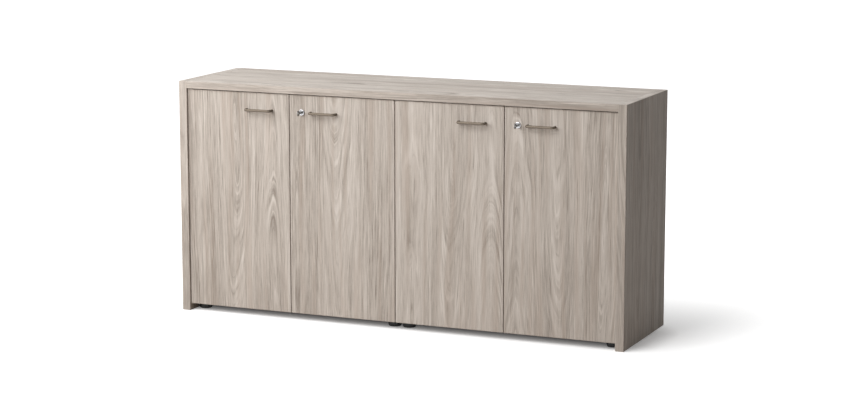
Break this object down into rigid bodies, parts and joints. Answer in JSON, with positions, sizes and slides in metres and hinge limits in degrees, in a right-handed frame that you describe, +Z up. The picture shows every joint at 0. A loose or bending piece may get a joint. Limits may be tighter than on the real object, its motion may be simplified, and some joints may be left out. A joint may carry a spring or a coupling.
{
  "type": "office credenza",
  "caption": "Low office cupboard with hinged doors in two units, adjustable shelves, bow handles and cam locks, wrapped by a top panel and full-height end panels.",
  "frame": {"origin": "bottom centre of the bounding box, keys included, on the floor", "axes": "+X to the right as seen from the front, the doors face -Y, +Z up"},
  "size_m": [1.66, 0.471, 0.825],
  "materials": {
    "elm_board": "satin melamine decor",
    "satin_nickel": "satin nickel",
    "chrome": "polished",
    "nickel_key": "nickel plated",
    "nickel_steel": "nickel plated pressed steel",
    "plated_steel": "zinc plated",
    "zinc": "die-cast zinc",
    "black_plastic": "matt black",
    "clear_soft_plastic": "soft, milky"
  },
  "bodies": {
    "carcass": {"top_panel": "elm_board", "left_end_panel": "elm_board", "right_end_panel": "elm_board", "left_unit_left_side": "elm_board", "left_unit_right_side": "elm_board", "left_unit_bottom": "elm_board", "left_unit_top": "elm_board", "left_unit_back": "elm_board", "left_unit_shelf": "elm_board", "right_unit_left_side": "elm_board", "right_unit_right_side": "elm_board", "right_unit_bottom": "elm_board", "right_unit_top": "elm_board", "right_unit_back": "elm_board", "right_unit_shelf": "elm_board", "cam_fittings": "zinc", "unit_joining_bolts": "plated_steel", "panel_screws": "plated_steel", "shelf_pins": "plated_steel", "strike_plates": "plated_steel", "foot_sockets": "black_plastic", "door_buffers": "clear_soft_plastic", "hinge_arms": "nickel_steel", "hinge_plates": "nickel_steel"},
    "door_1": {"door_1": "elm_board", "handle_1": "satin_nickel", "handle_screws_1": "plated_steel", "hinge_cups_1": "nickel_steel"},
    "hinge_links_1": {"hinge_links_1": "nickel_steel"},
    "door_2": {"door_2": "elm_board", "handle_2": "satin_nickel", "handle_screws_2": "plated_steel", "hinge_cups_2": "nickel_steel", "lock_housing_left": "chrome"},
    "hinge_links_2": {"hinge_links_2": "nickel_steel"},
    "lock_plug_left": {"lock_plug_left": "chrome", "lock_cam_left": "plated_steel"},
    "key_left": {"key_left": "nickel_key"},
    "door_3": {"door_3": "elm_board", "handle_3": "satin_nickel", "handle_screws_3": "plated_steel", "hinge_cups_3": "nickel_steel"},
    "hinge_links_3": {"hinge_links_3": "nickel_steel"},
    "door_4": {"door_4": "elm_board", "handle_4": "satin_nickel", "handle_screws_4": "plated_steel", "hinge_cups_4": "nickel_steel", "lock_housing_right": "chrome"},
    "hinge_links_4": {"hinge_links_4": "nickel_steel"},
    "lock_plug_right": {"lock_plug_right": "chrome", "lock_cam_right": "plated_steel"},
    "key_right": {"key_right": "nickel_key"},
    "foot_1": {"foot_1": "black_plastic"},
    "foot_2": {"foot_2": "black_plastic"},
    "foot_3": {"foot_3": "black_plastic"},
    "foot_4": {"foot_4": "black_plastic"},
    "foot_5": {"foot_5": "black_plastic"},
    "foot_6": {"foot_6": "black_plastic"},
    "foot_7": {"foot_7": "black_plastic"},
    "foot_8": {"foot_8": "black_plastic"}
  },
  "joints": [
    {"name": "hinge_links_1_swing", "type": "hinge", "parent": "carcass", "child": "hinge_links_1", "pos_m": [-0.7625, -0.1595, 0.411], "axis": [0, 0, 1], "range_deg": [0, 32.5]},
    {"name": "door_1_swing", "type": "hinge", "parent": "hinge_links_1", "child": "door_1", "pos_m": [-0.7865, -0.184, 0.411], "axis": [0, 0, 1], "range_deg": [-127.3, 0]},
    {"name": "hinge_links_2_swing", "type": "hinge", "parent": "carcass", "child": "hinge_links_2", "pos_m": [-0.0375, -0.1595, 0.411], "axis": [0, 0, 1], "range_deg": [-32.5, 0]},
    {"name": "door_2_swing", "type": "hinge", "parent": "hinge_links_2", "child": "door_2", "pos_m": [-0.0135, -0.184, 0.411], "axis": [0, 0, 1], "range_deg": [0, 127.3]},
    {"name": "lock_left_turn", "type": "hinge", "parent": "door_2", "child": "lock_plug_left", "pos_m": [-0.351, -0.1975, 0.737], "axis": [0, -1, 0], "range_deg": [0, 90]},
    {"name": "key_left_pull", "type": "slide", "parent": "lock_plug_left", "child": "key_left", "axis": [0, -1, 0], "range_m": [0, 0.03]},
    {"name": "hinge_links_3_swing", "type": "hinge", "parent": "carcass", "child": "hinge_links_3", "pos_m": [0.0375, -0.1595, 0.411], "axis": [0, 0, 1], "range_deg": [0, 32.5]},
    {"name": "door_3_swing", "type": "hinge", "parent": "hinge_links_3", "child": "door_3", "pos_m": [0.0135, -0.184, 0.411], "axis": [0, 0, 1], "range_deg": [-127.3, 0]},
    {"name": "hinge_links_4_swing", "type": "hinge", "parent": "carcass", "child": "hinge_links_4", "pos_m": [0.7625, -0.1595, 0.411], "axis": [0, 0, 1], "range_deg": [-32.5, 0]},
    {"name": "door_4_swing", "type": "hinge", "parent": "hinge_links_4", "child": "door_4", "pos_m": [0.7865, -0.184, 0.411], "axis": [0, 0, 1], "range_deg": [0, 127.3]},
    {"name": "lock_right_turn", "type": "hinge", "parent": "door_4", "child": "lock_plug_right", "pos_m": [0.449, -0.1975, 0.737], "axis": [0, -1, 0], "range_deg": [0, 90]},
    {"name": "key_right_pull", "type": "slide", "parent": "lock_plug_right", "child": "key_right", "axis": [0, -1, 0], "range_m": [0, 0.03]},
    {"name": "foot_1_height", "type": "slide", "parent": "carcass", "child": "foot_1", "axis": [0, 0, -1], "range_m": [0, 0.012]},
    {"name": "foot_2_height", "type": "slide", "parent": "carcass", "child": "foot_2", "axis": [0, 0, -1], "range_m": [0, 0.012]},
    {"name": "foot_3_height", "type": "slide", "parent": "carcass", "child": "foot_3", "axis": [0, 0, -1], "range_m": [0, 0.012]},
    {"name": "foot_4_height", "type": "slide", "parent": "carcass", "child": "foot_4", "axis": [0, 0, -1], "range_m": [0, 0.012]},
    {"name": "foot_5_height", "type": "slide", "parent": "carcass", "child": "foot_5", "axis": [0, 0, -1], "range_m": [0, 0.012]},
    {"name": "foot_6_height", "type": "slide", "parent": "carcass", "child": "foot_6", "axis": [0, 0, -1], "range_m": [0, 0.012]},
    {"name": "foot_7_height", "type": "slide", "parent": "carcass", "child": "foot_7", "axis": [0, 0, -1], "range_m": [0, 0.012]},
    {"name": "foot_8_height", "type": "slide", "parent": "carcass", "child": "foot_8", "axis": [0, 0, -1], "range_m": [0, 0.012]}
  ],
  "couplings": [
    {"joint": "hinge_links_1_swing", "follows": "door_1_swing", "ratio": -0.25373},
    {"joint": "hinge_links_2_swing", "follows": "door_2_swing", "ratio": -0.25373},
    {"joint": "hinge_links_3_swing", "follows": "door_3_swing", "ratio": -0.25373},
    {"joint": "hinge_links_4_swing", "follows": "door_4_swing", "ratio": -0.25373}
  ]
}
